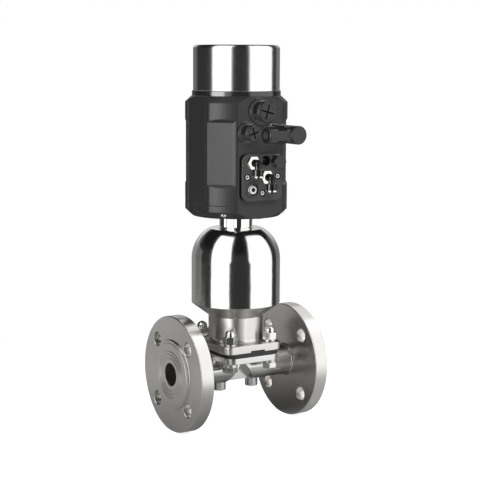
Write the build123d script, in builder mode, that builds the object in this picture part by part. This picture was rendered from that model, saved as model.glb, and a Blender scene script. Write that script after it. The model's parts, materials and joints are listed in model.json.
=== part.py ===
from build123d import *
import os
from math import asin, cos, degrees, radians, sin, sqrt, tan

os.makedirs("parts", exist_ok=True)

# Pipe flanges: the origin is the middle of the inlet face and the flow runs along +X
face_to_face = 150.0
flange_r = 57.5
flange_thickness = 14.0
flange_edge = 1.0
raised_face_r = 34.0
raised_face_height = 2.0
bolt_circle_r = 42.5
flange_hole_r = 7.0
flange_hole_count = 4
bore_r = 11.3
pipe_wall = 3.7
weld_leg = 2.0

# Valve body: two pipe lobes that turn up into a dish with a weir between them
seat_height = 16.5
body_flange_length = 59.5
body_flange_width = 74.4
body_flange_thickness = 6.0
body_corner_r = 9.0
dish_mouth_r = 21.0
dish_depth = 9.5
dish_wall = 2.8
weir_wall = 3.5
weir_angle = 55.0
lobe_foot = 16.0
lobe_round = 1.0
throat_reach = 18.0
throat_r = 10.9
web_thickness = 3.0
foot_spacing = 38.0
foot_r = 6.5
foot_reach = 22.0
foot_hole_r = 2.5
foot_hole_depth = 7.0

# Diaphragm and the compressor that presses it on the weir
soft_gap = 0.3
diaphragm_rim = 4.3
diaphragm_wall = 3.2
tab_width = 15.4
tab_depth = 6.0
tab_rise = 1.3
tab_offset = 3.0
stud_r = 3.0
stud_disc_r = 6.0
stud_disc_thickness = 1.5
stud_length = 7.0
compressor_r = 18.0
compressor_rise = 6.2
compressor_hub_r = 9.5
compressor_hub_height = 6.0
compressor_slot_width = 2.5
compressor_slot_start = 9.0
compressor_slot_count = 8
pin_r = 2.0
stroke = 10.0
end_gap = 1.0

# Bonnet, its four bolts and the spindle guide
plate_length = 66.0
plate_width = 75.0
plate_thickness = 7.6
plate_corner_r = 9.0
plate_edge = 0.8
cavity_r = 20.3
neck_r = 27.2
neck_flare = 3.5
spot_face_r = 8.0
cone_height = 12.5
cone_wall = 4.0
floor_drop = 2.5
bolt_spacing_x = 46.0
bolt_spacing_y = 54.0
bolt_turns = [26.0, 0.0, 0.0, 0.0]
bolt_r = 4.0
bolt_clearance = 0.5
bolt_head_width = 13.0
bolt_head_height = 5.3
bolt_boss_r = 7.5
bolt_boss_drop = 3.7
washer_r = 6.4
washer_thickness = 1.6
nut_hex_height = 7.4
nut_dome_r = 5.2
nut_dome_foot = 1.3
thread_gap = 0.05
bush_length = 12.0
bush_wall = 4.5
ring_section_r = 1.2
ring_groove = 2.6
ring_inset = 3.0

# Actuator: a piston with two closing springs under a domed shell
shell_r = 44.1
shell_wall = 2.5
spigot_height = 5.0
spigot_wall = 4.0
spindle_r = 6.0
spindle_top_r = 5.0
running_gap = 0.05
radius_match = 0.001
piston_gap = 0.5
piston_lift_off = 2.0
piston_thickness = 8.0
piston_hub_r = 13.0
piston_rim_width = 5.0
piston_web = 4.0
piston_groove = 2.6
spindle_nut_width = 17.0
spindle_nut_height = 8.0
spring_min_length = 32.5
outer_spring_r = 31.0
outer_wire_r = 1.9
outer_turns = 4.5
inner_spring_r = 20.5
inner_wire_r = 1.4
inner_turns = 5.5
spring_plate_r = 35.3
spring_plate_thickness = 2.5
spring_boss_r = 15.0
spring_boss_height = 9.0
dome_arc_r = 32.0
dome_rise = 29.0
dome_thickness = 4.0
adapter_spigot_r = 11.0
hub_nut_width = 30.0
hub_nut_height = 5.5

# Adapter neck and control head
adapter_ring_r = 17.0
adapter_ring_height = 2.3
adapter_groove = 0.8
neck_tube_r = 16.3
neck_gap_height = 15.0
neck_socket = 10.5
rod_r = 3.0
rod_length = 96.0
rod_joint = 6.0
head_r = 50.4
port_flat = 43.65
side_flat = 45.5
base_height = 13.0
base_chamfer_height = 6.6
base_foot_r = 43.5
housing_height = 104.4
shoulder_height = 5.9
shoulder_top_r = 44.0
housing_wall = 3.5
side_panel_half_width = 16.6
side_panel_depth = 0.45
corner_angle = 47.25
recess_floor = 47.4
recess_flat = 9.5
recess_side_angle = 22.0
recess_side_reach = 19.0
recess_low = 20.5
recess_high = 80.0
recess_ramp = 3.0
base_screw_circle_r = 45.4
base_screw_r = 2.0
base_screw_head_r = 3.1
base_screw_head_height = 3.0
base_screw_round = 1.8
base_screw_bite = 10.0
screw_pocket_r = 3.9
screw_boss_r = 4.6
screw_boss_height = 14.0
side_screw_height = 7.8
side_screw_r = 2.0
side_screw_head_r = 2.8
side_screw_head_height = 1.8
side_screw_recess = 2.4
seal_width = 1.2
seal_inset = 1.1
seal_thickness = 0.9

# Collar, removable cover and the key panel beneath it
collar_r = 43.6
collar_height = 5.0
collar_bore_r = 36.0
cover_r = 42.5
cover_wall = 1.2
cover_height = 44.1
cover_edge = 3.5
spigot_ring_height = 5.6
deck_bore_r = 34.0
panel_thickness = 4.0
panel_skin = 2.0
key_r = 4.0
key_clearance = 0.2
key_flange_r = 5.0
key_flange = 1.0
key_rise = 1.2
key_spacing = 24.0
key_row = -14.0

# Port face: everything on it sits a little to the inlet side of the spindle
port_shift = -1.0
manifold_height = 40.7
manifold_side = 46.0
manifold_corner = 7.0
manifold_thickness = 5.6
manifold_edge = 0.8
gasket_thickness = 0.6
gasket_inset = 0.6
port_r = 4.85
port_thread_depth = 5.0
air_hole_r = 2.5
inlet_port = (-11.8, 14.3)
outlet_port = (3.6, 0.1)
open_port = (3.6, 15.8)
vent_port = (15.6, 14.8)
exhaust_port = (-11.4, -11.6)
screw_places = [(-17.2, 0.5), (17.2, 0.5), (0.0, -15.3)]
screw_head_r = 2.75
screw_head_height = 2.6
screw_pocket = 3.4
screw_shank_r = 1.6
screw_bite = 3.2
screw_key_width = 2.5
stud_hex_width = 12.0
stud_hex_height = 3.6
stud_pivot_r = 2.5
stud_pivot_length = 4.6
elbow_reach = 10.2
elbow_arm_r = 3.8
elbow_leg_r = 3.3
sleeve_r = 5.2
sleeve_start = 5.5
sleeve_end = 11.8
sleeve_floor = 6.7
band_r = 5.35
band_height = 1.4
tube_r = 3.0
collet_wall = 0.75
collet_gap = 0.1
collet_stem = 5.0
collet_lip_r = 4.4
collet_lip = 0.9
collet_travel = 0.8
vent_r = 6.5
vent_height = 8.0
vent_edge = 0.8
exhaust_rim_r = 7.8
exhaust_rim_wall = 1.6
exhaust_rim_height = 1.0
exhaust_recess = 1.2
exhaust_ring_r = 3.7
exhaust_ring_bore_r = 2.2
exhaust_ring_rise = 1.4

# Cable glands and their blanking plugs
large_gland_place = (0.1, 103.3)
large_gland_collar_r = 13.3
large_gland_body_r = 10.6
large_gland_thread_r = 9.8
large_gland_bore_r = 7.2
small_gland_place = (-14.8, 83.4)
small_gland_collar_r = 11.0
small_gland_body_r = 8.6
small_gland_thread_r = 7.0
small_gland_bore_r = 5.6
gland_collar_height = 3.8
gland_collar_edge = 0.8
gland_reach = 14.0
gland_nose = 1.6
gland_thread_depth = 6.0
plug_groove_width = 1.3
plug_groove_depth = 1.2
large_plug_turn = -15.0
small_plug_turn = 18.0

# Angled cable connector on its socket
connector_place = (14.8, 82.6)
socket_thread_r = 7.5
socket_flange_r = 8.6
socket_flange_height = 3.0
socket_r = 5.9
socket_bore_r = 4.0
socket_height = 14.0
union_r = 9.0
union_height = 11.0
union_notch_r = 0.8
union_notch_count = 12
barrel_r = 8.8
barrel_end = 46.0
barrel_edge = 0.8
leg_height = 36.0
leg_r = 7.8
leg_hex_start = 11.1
leg_hex_end = 21.1
leg_hex_width = 15.4
leg_thread_r = 6.0
leg_thread_length = 6.5
clamp_r = 8.5
clamp_length = 9.6
clamp_bore_r = 4.0
clamp_round = 1.6

# Parts inside the control head
frame_thickness = 3.0
frame_r = 38.0
frame_bore_r = 6.0
frame_post = 6.0
frame_post_place = (28.0, 14.0)
frame_post_height = 84.0
board_width = 58.0
board_height = 76.0
board_thickness = 1.6
board_rise = 6.0
sensor_r = 8.0
sensor_height = 72.0
sensor_gap = 0.3
valve_width = 14.8
valve_spacing = 15.4
valve_depth = 16.0
valve_height = 36.0

# Levels along the spindle, counted from the pipe axis
pipe_r = bore_r + pipe_wall
flange_depth = flange_thickness + raised_face_height
axis_x = face_to_face / 2
body_flange_low = seat_height - body_flange_thickness
dish_sphere_r = (dish_mouth_r**2 + dish_depth**2) / (2 * dish_depth)
dish_centre = seat_height - dish_depth + dish_sphere_r
under_r = dish_sphere_r - soft_gap
upper_r = under_r - diaphragm_wall
press_r = upper_r - soft_gap
bonnet_low = seat_height + diaphragm_rim
plate_top = bonnet_low + plate_thickness
compressor_top = bonnet_low + compressor_rise
hub_top = compressor_top + compressor_hub_height
bulkhead_low = hub_top + stroke + end_gap
chamber_floor = bulkhead_low + bush_length
neck_top = chamber_floor - floor_drop
cone_top = neck_top + cone_height
spigot_top = cone_top + spigot_height
shell_bore_r = shell_r - shell_wall
spigot_r = shell_bore_r - soft_gap
piston_low = spigot_top + piston_lift_off
piston_top = piston_low + piston_thickness
piston_r = shell_bore_r - piston_gap
spring_seat = piston_top + stroke + spring_min_length
spring_plate_top = spring_seat + spring_plate_thickness
dome_inside = spring_plate_top + spring_boss_height
dome_top = dome_inside + dome_thickness
dome_spring = dome_top - dome_rise
dome_flat_r = shell_r - dome_arc_r + sqrt(dome_arc_r**2 - dome_rise**2)
head_low = dome_top + neck_gap_height
seam = head_low + base_height
shoulder_top = seam + housing_height
collar_top = shoulder_top + collar_height
cover_top = collar_top + cover_height
bush_r = spindle_r + bush_wall
nut_corner_r = bolt_head_width / sqrt(3)
press_low = dish_centre - press_r
rim_low = dish_centre - sqrt(press_r**2 - compressor_r**2)
pin_height = compressor_top + compressor_hub_height / 2
neck_end = head_low + neck_socket
frame_low = neck_end
frame_top = frame_low + frame_thickness
spindle_end = neck_end - stroke
rod_low = spindle_end - rod_joint
deck_low = shoulder_top - housing_wall
panel_top = shoulder_top + panel_thickness
manifold_top = gasket_thickness + manifold_thickness
hex_top = manifold_top + stud_hex_height
elbow_height = manifold_top + elbow_reach


# Working planes: level() is square to the spindle and port() stands off the port face
def level(height):
    return Plane((axis_x, 0, height))


def port(reach):
    return Plane((axis_x + port_shift, -port_flat - reach, head_low), x_dir=(1, 0, 0), z_dir=(0, -1, 0))


profile = Plane((axis_x, 0, 0), x_dir=(1, 0, 0), z_dir=(0, -1, 0))
spindle_axis = Axis((axis_x, 0, 0), (0, 0, 1))
bolt_grid = GridLocations(bolt_spacing_x, bolt_spacing_y, 2, 2)
bolt_sides = [(-1, -1), (-1, 1), (1, -1), (1, 1)]
bolt_places = [(x * bolt_spacing_x / 2, y * bolt_spacing_y / 2) for x, y in bolt_sides]
all_ports = [inlet_port, outlet_port, open_port, vent_port, exhaust_port]


def on_plate(place):
    return (place[0], manifold_height + place[1])


# Shared building steps, each used inside the block of the piece that it shapes
def ring(low, high, outer, inner=0.0, mode=Mode.ADD):
    with BuildSketch(level(low)) as section:
        Circle(outer)
        if inner > 0:
            Circle(inner, mode=Mode.SUBTRACT)
    extrude(section.sketch, amount=high - low, mode=mode)


def turned(points, mode=Mode.ADD):
    with BuildSketch(profile) as section:
        with BuildLine():
            Polyline(points, close=True)
        make_face()
    revolve(section.sketch, axis=spindle_axis, mode=mode)


def stem(place, low, high, outer, inner=0.0, mode=Mode.ADD):
    with BuildSketch(port(low)) as section:
        with Locations(place):
            Circle(outer)
            if inner > 0:
                Circle(inner, mode=Mode.SUBTRACT)
    extrude(section.sketch, amount=high - low, mode=mode)


def bolt_holes(low, high):
    with BuildSketch(level(low)) as section:
        with bolt_grid:
            Circle(bolt_r + bolt_clearance)
    extrude(section.sketch, amount=high - low, mode=Mode.SUBTRACT)


def seal(height, radius):
    with BuildSketch(profile) as section:
        with Locations((radius, height)):
            Circle(ring_section_r)
    revolve(section.sketch, axis=spindle_axis)


def dish_ball(radius):
    with Locations((axis_x, 0, dish_centre)):
        Sphere(radius, mode=Mode.SUBTRACT)


def dish_bowl(radius, low, high):
    """A turned bowl under the dish, from its lowest point up to the level called high."""
    mouth = sqrt(radius**2 - (dish_centre - low) ** 2)
    half = mouth / 2
    with BuildSketch(profile) as section:
        with BuildLine():
            start = (0, dish_centre - radius)
            ThreePointArc(start, (half, dish_centre - sqrt(radius**2 - half**2)), (mouth, low))
            Polyline((mouth, low), (mouth, high), (0, high), start)
        make_face()
    revolve(section.sketch, axis=spindle_axis)


def cross_hole(radius, reach, mode):
    with Locations(Plane((axis_x, 0, pin_height), z_dir=(1, 0, 0))):
        Cylinder(radius, 2 * reach, mode=mode)


def at_radius(edges, radius):
    circles = edges.filter_by(GeomType.CIRCLE)
    return circles.filter_by(lambda edge: abs(edge.radius - radius) < radius_match)


def keep(piece, name):
    piece.part.label = name
    export_step(piece.part, f"parts/{name}.step")


# Flanges: a raised face, a plain bolt ring and four clearance holes off the centre lines
def pipe_flange(face):
    with BuildPart() as flange:
        with BuildSketch(face):
            Circle(raised_face_r)
        extrude(amount=raised_face_height)
        with BuildSketch(face.offset(raised_face_height)):
            Circle(flange_r)
        extrude(amount=flange_thickness)
        chamfer(at_radius(flange.edges(), flange_r), length=flange_edge)
        with BuildSketch(face):
            Circle(bore_r)
            with PolarLocations(bolt_circle_r, flange_hole_count, start_angle=180 / flange_hole_count):
                Circle(flange_hole_r)
        extrude(amount=flange_depth, mode=Mode.SUBTRACT)
    return flange


keep(pipe_flange(Plane.YZ), "inlet_flange")
keep(pipe_flange(Plane((face_to_face, 0, 0), x_dir=(0, 1, 0), z_dir=(-1, 0, 0))), "outlet_flange")


# The wedge that parts the two lobes; pushed outwards by a wall it also ends the flow way
def wedge(push):
    rise = tan(radians(weir_angle))
    foot = lobe_foot + push / sin(radians(weir_angle))
    depth = pipe_r + weld_leg
    with BuildSketch(profile) as section:
        with BuildLine():
            low_foot = foot + weld_leg / rise
            Polyline((-low_foot, -depth), (low_foot, -depth), (0, foot * rise - pipe_r), close=True)
        make_face()
    extrude(section.sketch, amount=depth, both=True, mode=Mode.SUBTRACT)


with BuildPart() as flow_way:
    with BuildSketch(Plane.XZ):
        with BuildLine():
            Polyline((flange_depth, 0), (flange_depth, bore_r), (axis_x - throat_reach, bore_r))
            Polyline((axis_x - throat_reach, bore_r), (axis_x, throat_r), (axis_x, 0))
            Line((axis_x, 0), (flange_depth, 0))
        make_face()
    revolve(axis=Axis.X)
    mirror(about=Plane.YZ.offset(axis_x))
    wedge(weir_wall)

with BuildPart() as valve_body:
    with BuildSketch(Plane.YZ.offset(flange_depth)):
        Circle(pipe_r)
    extrude(amount=face_to_face - 2 * flange_depth)
    wedge(0)
    fillet(valve_body.edges().filter_by(GeomType.ELLIPSE), radius=lobe_round)
    # Weld beads against both flanges
    for start, inwards in ((flange_depth, weld_leg), (face_to_face - flange_depth, -weld_leg)):
        with BuildSketch(Plane.XZ):
            with BuildLine():
                root = (start, pipe_r - weld_leg)
                toe = (start + inwards, pipe_r - weld_leg)
                crown = (start + 0.6 * inwards, pipe_r + 0.6 * weld_leg)
                Polyline(root, (start, pipe_r + weld_leg), crown, toe, close=True)
            make_face()
        revolve(axis=Axis.X)
    # Underside of the dish, and the rib that ties the lobes below it
    dish_bowl(dish_sphere_r + dish_wall, body_flange_low, seat_height)
    with BuildSketch(profile):
        with Locations((0, weld_leg / 2 - pipe_r)):
            Rectangle(2 * lobe_foot + pipe_r, pipe_r + body_flange_low / 2, align=(Align.CENTER, Align.MIN))
    extrude(amount=web_thickness / 2, both=True)
    # Top flange with a boss under each bolt
    with BuildSketch(level(body_flange_low)):
        RectangleRounded(body_flange_length, body_flange_width, body_corner_r)
    extrude(amount=body_flange_thickness)
    with BuildSketch(level(body_flange_low - bolt_boss_drop)):
        with bolt_grid:
            Circle(bolt_boss_r)
    extrude(amount=bolt_boss_drop)
    # Feet for a bracket
    with BuildSketch(level(-foot_reach)):
        with GridLocations(foot_spacing, 0, 2, 1):
            Circle(foot_r)
    extrude(amount=foot_reach - bore_r)
    dish_ball(dish_sphere_r)
    add(flow_way.part, mode=Mode.SUBTRACT)
    bolt_holes(body_flange_low - bolt_boss_drop, seat_height)
    with BuildSketch(level(-foot_reach)):
        with GridLocations(foot_spacing, 0, 2, 1):
            Circle(foot_hole_r)
    extrude(amount=foot_hole_depth, mode=Mode.SUBTRACT)
keep(valve_body, "valve_body")

# Diaphragm: a flat clamped rim with a finger tab, dished down on the weir when the valve is shut
with BuildPart() as diaphragm:
    dish_bowl(under_r, seat_height, bonnet_low)
    with BuildSketch(level(seat_height)):
        RectangleRounded(body_flange_length, body_flange_width, body_corner_r)
    extrude(amount=diaphragm_rim)
    with BuildSketch(level(bonnet_low)):
        with Locations((tab_offset, (tab_depth - body_flange_width) / 2)):
            Rectangle(tab_width, tab_depth)
    extrude(amount=tab_rise)
    dish_ball(upper_r)
    disc_low = press_low - stud_disc_thickness
    ring(disc_low - soft_gap, press_low, stud_disc_r + soft_gap, mode=Mode.SUBTRACT)
    bolt_holes(seat_height, bonnet_low)
keep(diaphragm, "diaphragm")

with BuildPart() as diaphragm_stud:
    ring(disc_low, press_low, stud_disc_r)
    ring(press_low, press_low + stud_length, stud_r)
keep(diaphragm_stud, "diaphragm_stud")

# Compressor: a fingered pad with a hub that takes the spindle and its cross pin
with BuildPart() as compressor:
    dish_bowl(press_r, rim_low, compressor_top)
    ring(compressor_top, hub_top, compressor_hub_r)
    with BuildSketch(level(press_low)):
        with PolarLocations(compressor_slot_start + compressor_r / 2, compressor_slot_count):
            Rectangle(compressor_r, compressor_slot_width)
    extrude(amount=rim_low - press_low, mode=Mode.SUBTRACT)
    ring(press_low, press_low + stud_length + end_gap, stud_r + thread_gap, mode=Mode.SUBTRACT)
    ring(compressor_top - end_gap, hub_top, spindle_r + running_gap, mode=Mode.SUBTRACT)
    cross_hole(pin_r + thread_gap, compressor_hub_r, Mode.SUBTRACT)
keep(compressor, "compressor")

with BuildPart() as compressor_pin:
    cross_hole(pin_r, compressor_hub_r, Mode.ADD)
keep(compressor_pin, "compressor_pin")

# Bonnet: bolted plate, neck with the spindle guide, and the cone under the air chamber
with BuildPart() as bonnet:
    with BuildSketch(level(bonnet_low)):
        RectangleRounded(plate_length, plate_width, plate_corner_r)
    extrude(amount=plate_thickness)
    chamfer(bonnet.faces().sort_by(Axis.Z)[-1].edges(), length=plate_edge)
    slope = (shell_r - neck_r) / cone_height
    spigot_bore_r = spigot_r - spigot_wall
    wall_rise = cone_wall * sqrt(1 + slope**2) / slope
    inner_top = cone_top - (shell_r - spigot_bore_r) / slope + wall_rise
    turned(
        [
            (0, bonnet_low),
            (neck_r, bonnet_low),
            (neck_r, neck_top),
            (shell_r, cone_top),
            (spigot_r, cone_top),
            (spigot_r, spigot_top),
            (spigot_bore_r, spigot_top),
            (spigot_bore_r, inner_top),
            (spigot_bore_r - (inner_top - chamber_floor) * slope, chamber_floor),
            (0, chamber_floor),
        ]
    )
    neck_foot = at_radius(bonnet.edges(), neck_r).group_by(Axis.Z)[0]
    fillet(neck_foot, radius=neck_flare)
    with BuildSketch(level(plate_top)):
        with bolt_grid:
            Circle(spot_face_r)
    extrude(amount=neck_flare, mode=Mode.SUBTRACT)
    ring(bonnet_low, bulkhead_low, cavity_r, mode=Mode.SUBTRACT)
    ring(bulkhead_low, chamber_floor, bush_r, mode=Mode.SUBTRACT)
    groove_low = cone_top + end_gap
    groove_r = spigot_r - 2 * ring_section_r
    ring(groove_low, groove_low + ring_groove, spigot_r, groove_r, Mode.SUBTRACT)
    with BuildSketch(level(bonnet_low)):
        with Locations((tab_offset, (tab_depth - plate_width) / 2)):
            Rectangle(tab_width + 2 * soft_gap, tab_depth + 2 * soft_gap)
    extrude(amount=tab_rise + soft_gap, mode=Mode.SUBTRACT)
    bolt_holes(bonnet_low, plate_top)
keep(bonnet, "bonnet")

with BuildPart() as shell_seal:
    seal(groove_low + ring_groove / 2, spigot_r - ring_section_r + soft_gap / 2)
keep(shell_seal, "shell_seal")

shank_low = body_flange_low - bolt_boss_drop
nut_low = plate_top + washer_thickness
bolt_end = nut_low + nut_hex_height + end_gap

with BuildPart() as bonnet_bolts:
    with BuildSketch(level(shank_low - bolt_head_height)):
        for place, turn in zip(bolt_places, bolt_turns):
            with Locations(place):
                RegularPolygon(bolt_head_width / 2, 6, major_radius=False, rotation=turn)
    extrude(amount=bolt_head_height)
    with BuildSketch(level(shank_low)):
        with bolt_grid:
            Circle(bolt_r)
    extrude(amount=bolt_end - shank_low)
keep(bonnet_bolts, "bonnet_bolts")

with BuildPart() as bolt_washers:
    with BuildSketch(level(plate_top)):
        with bolt_grid:
            Circle(washer_r)
            Circle(bolt_r + bolt_clearance / 2, mode=Mode.SUBTRACT)
    extrude(amount=washer_thickness)
keep(bolt_washers, "bolt_washers")

# Domed cap nuts: a hexagon with turned-off corners under a ball end, drilled blind
with BuildPart() as one_nut:
    with BuildSketch(Plane.XY):
        RegularPolygon(bolt_head_width / 2, 6, major_radius=False)
    extrude(amount=nut_hex_height)
    with BuildSketch(Plane.XZ):
        with BuildLine():
            flat_r = bolt_head_width / 2
            drop = (nut_corner_r - flat_r) * tan(radians(30))
            corner_top = (nut_corner_r, nut_hex_height - drop)
            Polyline((0, 0), (flat_r, 0), (nut_corner_r, drop), corner_top, (flat_r, nut_hex_height))
            Polyline((flat_r, nut_hex_height), (0, nut_hex_height), (0, 0))
        make_face()
    revolve(axis=Axis.Z, mode=Mode.INTERSECT)
    with Locations((0, 0, nut_hex_height)):
        Cylinder(nut_dome_r, nut_dome_foot, align=(Align.CENTER, Align.CENTER, Align.MIN))
    with Locations((0, 0, nut_hex_height + nut_dome_foot)):
        Sphere(nut_dome_r)
    with BuildSketch(Plane.XY):
        Circle(bolt_r + thread_gap)
    extrude(amount=bolt_end - nut_low + end_gap, mode=Mode.SUBTRACT)

with BuildPart(level(nut_low)) as acorn_nuts:
    for place, turn in zip(bolt_places, bolt_turns):
        with Locations(place):
            add(one_nut.part, rotation=(0, 0, turn))
keep(acorn_nuts, "acorn_nuts")

# Guide bushes for the spindle, one in the bonnet and one in the adapter, with two rings in each
top_bush_low = spring_seat - hub_nut_height
adapter_bore_r = spindle_top_r + running_gap + bush_wall
guides = [
    (bulkhead_low, chamber_floor, spindle_r, bush_r),
    (top_bush_low, top_bush_low + bush_length, spindle_top_r, adapter_bore_r),
]

with BuildPart() as spindle_bushes:
    for low, high, shaft_r, outer_r in guides:
        ring(low, high, outer_r, shaft_r + running_gap)
        for centre in (low + ring_inset, high - ring_inset):
            groove_low = centre - ring_groove / 2
            groove_r = shaft_r + 2 * (ring_section_r + soft_gap)
            ring(groove_low, groove_low + ring_groove, groove_r, mode=Mode.SUBTRACT)
keep(spindle_bushes, "spindle_bushes")

with BuildPart() as spindle_seals:
    for low, high, shaft_r, outer_r in guides:
        for centre in (low + ring_inset, high - ring_inset):
            seal(centre, shaft_r + soft_gap + ring_section_r)
keep(spindle_seals, "spindle_seals")

# Moving stem: spindle, piston and the nut that clamps them
with BuildPart() as spindle:
    ring(compressor_top, piston_low, spindle_r)
    ring(piston_low, spindle_end, spindle_top_r)
    cross_hole(pin_r + thread_gap, spindle_r, Mode.SUBTRACT)
    ring(rod_low, spindle_end, rod_r + thread_gap, mode=Mode.SUBTRACT)
keep(spindle, "spindle")

web_low = piston_low + (piston_thickness - piston_web) / 2
web_top = web_low + piston_web

with BuildPart() as piston:
    ring(piston_low, piston_top, piston_hub_r)
    ring(web_low, web_top, piston_r)
    ring(piston_low, piston_top, piston_r, piston_r - piston_rim_width)
    for groove_low in (piston_low + end_gap, piston_top - end_gap - piston_groove):
        ring(groove_low, groove_low + piston_groove, piston_r, piston_r - piston_groove, Mode.SUBTRACT)
    ring(piston_low, piston_top, spindle_top_r + thread_gap, mode=Mode.SUBTRACT)
keep(piston, "piston")

with BuildPart() as piston_seal:
    seal(piston_low + end_gap + piston_groove / 2, piston_r - ring_section_r + soft_gap / 2)
keep(piston_seal, "piston_seal")

with BuildPart() as piston_guide_ring:
    guide_high = piston_top - end_gap - thread_gap
    guide_low = guide_high - piston_groove + 2 * thread_gap
    ring(guide_low, guide_high, piston_r + soft_gap / 2, piston_r - piston_groove + soft_gap)
keep(piston_guide_ring, "piston_guide_ring")

with BuildPart() as spindle_nut:
    with BuildSketch(level(piston_top)):
        RegularPolygon(spindle_nut_width / 2, 6, major_radius=False)
        Circle(spindle_top_r + thread_gap, mode=Mode.SUBTRACT)
    extrude(amount=spindle_nut_height)
keep(spindle_nut, "spindle_nut")


# Closing springs, wound between the piston web and the spring plate
def coil(radius, wire_r, turns):
    low = web_top + wire_r + soft_gap
    length = spring_seat - wire_r - soft_gap - low
    with BuildPart() as spring:
        with BuildLine():
            path = Helix(length / turns, length, radius, center=(axis_x, 0, low))
        with BuildSketch(Plane(path @ 0, z_dir=path % 0)):
            Circle(wire_r)
        sweep(is_frenet=True)
    return spring.part


with BuildPart() as closing_springs:
    add(coil(outer_spring_r, outer_wire_r, outer_turns))
    add(coil(inner_spring_r, inner_wire_r, inner_turns))
keep(closing_springs, "closing_springs")

with BuildPart() as spring_plate:
    ring(spring_seat, spring_plate_top, spring_plate_r, adapter_spigot_r + thread_gap)
    ring(spring_plate_top, dome_inside, spring_boss_r, adapter_spigot_r + thread_gap)
keep(spring_plate, "spring_plate")

with BuildPart() as hub_nut:
    with BuildSketch(level(top_bush_low)):
        RegularPolygon(hub_nut_width / 2, 6, major_radius=False)
        Circle(adapter_spigot_r + thread_gap, mode=Mode.SUBTRACT)
    extrude(amount=hub_nut_height)
keep(hub_nut, "hub_nut")

# Actuator shell: a straight skirt that turns into a dome with a flat crown
with BuildPart() as actuator_shell:
    arc_centre = (shell_r - dome_arc_r, dome_spring)
    inner_arc_r = dome_arc_r - shell_wall
    inner_rise = dome_inside - dome_spring
    inner_flat_r = arc_centre[0] + sqrt(inner_arc_r**2 - inner_rise**2)
    crown_bore_r = adapter_spigot_r + thread_gap
    with BuildSketch(profile):
        with BuildLine():
            Line((shell_r, cone_top), (shell_r, dome_spring))
            CenterArc(arc_centre, dome_arc_r, 0, degrees(asin(dome_rise / dome_arc_r)))
            Polyline((dome_flat_r, dome_top), (crown_bore_r, dome_top), (crown_bore_r, dome_inside))
            Line((crown_bore_r, dome_inside), (inner_flat_r, dome_inside))
            CenterArc(arc_centre, inner_arc_r, 0, degrees(asin(inner_rise / inner_arc_r)))
            Polyline((shell_bore_r, dome_spring), (shell_bore_r, cone_top), (shell_r, cone_top))
        make_face()
    revolve(axis=spindle_axis)
keep(actuator_shell, "actuator_shell")

with BuildPart() as adapter_neck:
    ring_top = dome_top + adapter_ring_height
    ring(top_bush_low, dome_top, adapter_spigot_r)
    ring(dome_top, ring_top, adapter_ring_r)
    ring(ring_top, ring_top + adapter_groove, neck_tube_r - adapter_groove)
    ring(ring_top + adapter_groove, neck_end, neck_tube_r)
    ring(top_bush_low, neck_end, adapter_bore_r, mode=Mode.SUBTRACT)
keep(adapter_neck, "adapter_neck")

with BuildPart() as feedback_rod:
    ring(rod_low, rod_low + rod_length, rod_r)
keep(feedback_rod, "feedback_rod")


# Control head outline: a round body cut to two pairs of flats, with a shallow panel in each side flat
def head_outline(shrink=0.0):
    Circle(head_r - shrink)
    Rectangle(2 * (side_flat - shrink), 2 * (port_flat - shrink), mode=Mode.INTERSECT)
    with Locations((side_flat - shrink, 0), (shrink - side_flat, 0)):
        Rectangle(2 * side_panel_depth, 2 * (side_panel_half_width + shrink), mode=Mode.SUBTRACT)


corner_turns = [corner_angle, 180 - corner_angle, 180 + corner_angle, -corner_angle]
corner_screws = Locations(
    *[(base_screw_circle_r * sin(radians(t)), -base_screw_circle_r * cos(radians(t))) for t in corner_turns]
)
pocket_top = head_low + base_chamfer_height - end_gap
foot_slope = base_chamfer_height / (head_r - base_foot_r)
shoulder_slope = shoulder_height / (head_r - shoulder_top_r)
side_face = side_flat - side_panel_depth
side_screw_plane = Plane((axis_x - side_face, 0, head_low + side_screw_height), z_dir=(1, 0, 0))

with BuildPart() as head_base:
    with BuildSketch(level(head_low)):
        head_outline()
    extrude(amount=base_height)
    far_r = 2 * head_r
    far_top = head_low + (far_r - base_foot_r) * foot_slope
    turned([(base_foot_r, head_low), (far_r, head_low), (far_r, far_top)], Mode.SUBTRACT)
    ring(frame_low, seam, frame_r + soft_gap, mode=Mode.SUBTRACT)
    with BuildSketch(level(seam - seal_thickness)):
        head_outline(seal_inset - thread_gap)
        with BuildSketch(mode=Mode.PRIVATE) as groove_core:
            head_outline(seal_inset + seal_width + thread_gap)
        add(groove_core.sketch, mode=Mode.SUBTRACT)
    extrude(amount=seal_thickness, mode=Mode.SUBTRACT)
    ring(head_low, seam, neck_tube_r + thread_gap, mode=Mode.SUBTRACT)
    with BuildSketch(level(head_low)):
        with corner_screws:
            Circle(screw_pocket_r)
    extrude(amount=pocket_top - head_low, mode=Mode.SUBTRACT)
    with BuildSketch(level(pocket_top)):
        with corner_screws:
            Circle(base_screw_r + thread_gap)
    extrude(amount=seam - pocket_top, mode=Mode.SUBTRACT)
    with BuildSketch(side_screw_plane):
        Circle(side_screw_head_r + soft_gap)
    extrude(amount=side_screw_recess, mode=Mode.SUBTRACT)
    with BuildSketch(side_screw_plane):
        Circle(side_screw_r + thread_gap)
    extrude(amount=side_face - neck_tube_r, mode=Mode.SUBTRACT)
keep(head_base, "head_base")

with BuildPart() as housing_seal:
    with BuildSketch(level(seam - seal_thickness)):
        head_outline(seal_inset)
        with BuildSketch(mode=Mode.PRIVATE) as seal_core:
            head_outline(seal_inset + seal_width)
        add(seal_core.sketch, mode=Mode.SUBTRACT)
    extrude(amount=seal_thickness)
keep(housing_seal, "housing_seal")

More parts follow.
